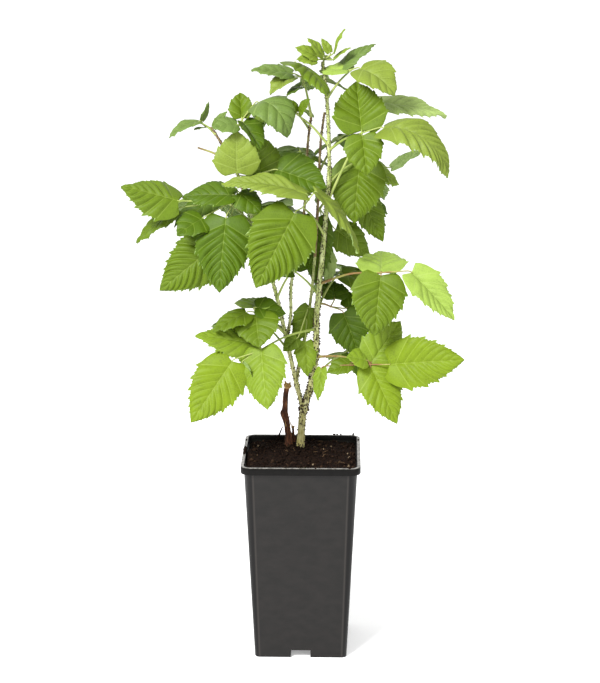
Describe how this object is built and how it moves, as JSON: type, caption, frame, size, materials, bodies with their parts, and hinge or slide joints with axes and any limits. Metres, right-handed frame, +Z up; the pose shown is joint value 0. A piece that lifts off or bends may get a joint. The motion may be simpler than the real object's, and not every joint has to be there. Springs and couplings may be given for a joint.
{
  "type": "raspberry cane in a pot",
  "caption": "Young raspberry plant, a clump of thin prickly canes with compound toothed leaves, in a deep square black plastic nursery pot.",
  "frame": {"origin": "centre of the pot's flat underside, on the surface that it stands on", "axes": "+Z up the plant, -Y towards the viewer and the plant's broad side, +X to the viewer's right; the pot's sides lie along X and Y"},
  "size_m": [0.339, 0.2117, 0.6346],
  "materials": {
    "pot_plastic": "satin, dark charcoal grey, worn paler at the rim",
    "compost": "rough damp peat with fibres",
    "green_cane": "pale green bark with dark prickles",
    "dead_cane": "dry brown bark, fibrous",
    "leaf": "soft matte mid green, pleated between the veins",
    "young_leaf": "soft yellow green"
  },
  "bodies": {
    "root": {"cane_left": "green_cane", "cane_main": "green_cane", "cane_middle": "green_cane", "cane_third": "green_cane", "leaf_back_centre": "leaf", "leaf_back_high": "leaf", "leaf_back_high_left": "leaf", "leaf_back_high_right": "leaf", "leaf_back_left": "leaf", "leaf_back_low_left": "leaf", "leaf_back_low_right": "leaf", "leaf_back_mid": "leaf", "leaf_back_mid_left": "leaf", "leaf_back_mid_right": "leaf", "leaf_back_right": "leaf", "leaf_back_top": "leaf", "leaf_back_top_left": "leaf", "leaf_bare_stalk": "leaf", "leaf_centre_front": "leaf", "leaf_centre_low": "leaf", "leaf_left_arch": "leaf", "leaf_left_big": "leaf", "leaf_left_light": "leaf", "leaf_left_low": "leaf", "leaf_left_mid": "leaf", "leaf_low_small": "leaf", "leaf_right_blue": "leaf", "leaf_right_dark": "leaf", "leaf_right_low": "leaf", "leaf_right_mid": "leaf", "leaf_right_top": "leaf", "leaf_right_upper": "leaf", "leaf_shoot": "young_leaf", "leaf_small_mid": "leaf", "leaf_thin_stalk": "leaf", "leaf_top_left": "leaf", "leaf_top_right": "young_leaf", "leaf_top_tuft": "young_leaf", "old_stub": "dead_cane", "pot": "pot_plastic", "small_stub": "dead_cane", "soil": "compost"}
  },
  "joints": []
}
